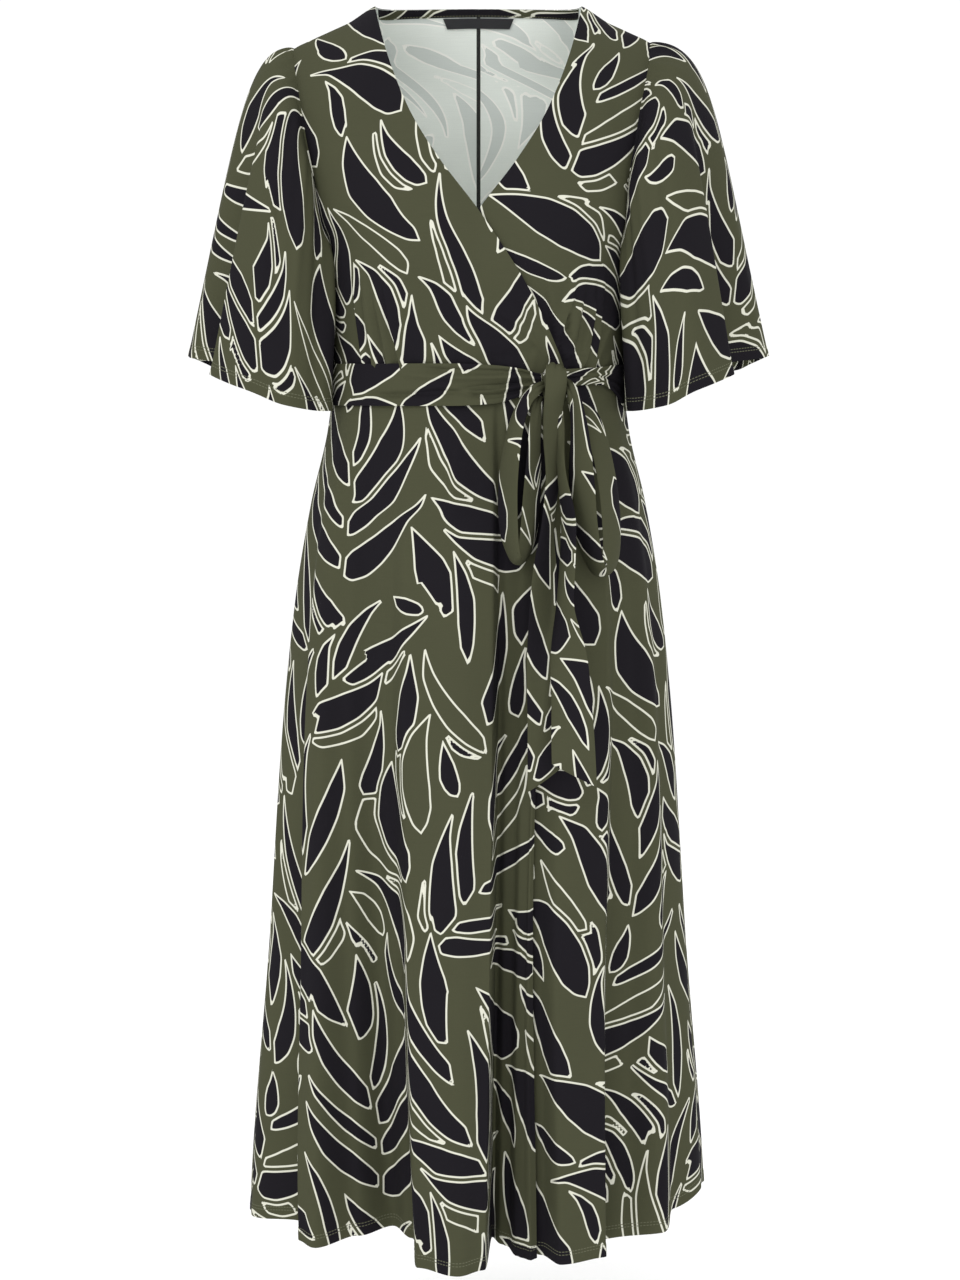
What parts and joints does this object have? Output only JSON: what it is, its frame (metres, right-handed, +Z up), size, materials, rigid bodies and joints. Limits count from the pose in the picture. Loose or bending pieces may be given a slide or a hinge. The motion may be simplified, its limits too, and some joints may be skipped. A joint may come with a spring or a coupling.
{
  "type": "wrap dress",
  "caption": "Hollow wrap dress in printed jersey with a V neck, wide flutter sleeves, a sash tied in a bow at the waist and a flared midi skirt.",
  "frame": {"origin": "midway between the two shoulder neck points, where the wearer's shoulders carry the dress", "axes": "+Z up, -Y towards the front, +X towards the wearer's left (the viewer's right)"},
  "size_m": [0.6, 0.3535, 1.2738],
  "materials": {
    "printed_jersey": "soft matt jersey, olive ground with near-black leaves outlined in cream",
    "sash_jersey": "the same printed jersey, sewn double",
    "neck_binding": "the same printed jersey, folded and topstitched",
    "plain_label": "plain black woven tape, blank"
  },
  "bodies": {
    "root": {"front_bodice_right": "printed_jersey", "front_bodice_left": "printed_jersey", "back_bodice_right": "printed_jersey", "back_bodice_left": "printed_jersey", "sleeve_right": "printed_jersey", "sleeve_left": "printed_jersey", "skirt_front_over": "printed_jersey", "skirt_front_under": "printed_jersey", "skirt_back_right": "printed_jersey", "skirt_back_left": "printed_jersey", "belt_band": "sash_jersey", "belt_knot": "sash_jersey", "bow_loop_right": "sash_jersey", "bow_loop_left": "sash_jersey", "belt_tail_right": "sash_jersey", "belt_tail_left": "sash_jersey", "back_neck_band": "neck_binding", "neck_label": "plain_label"}
  },
  "joints": []
}
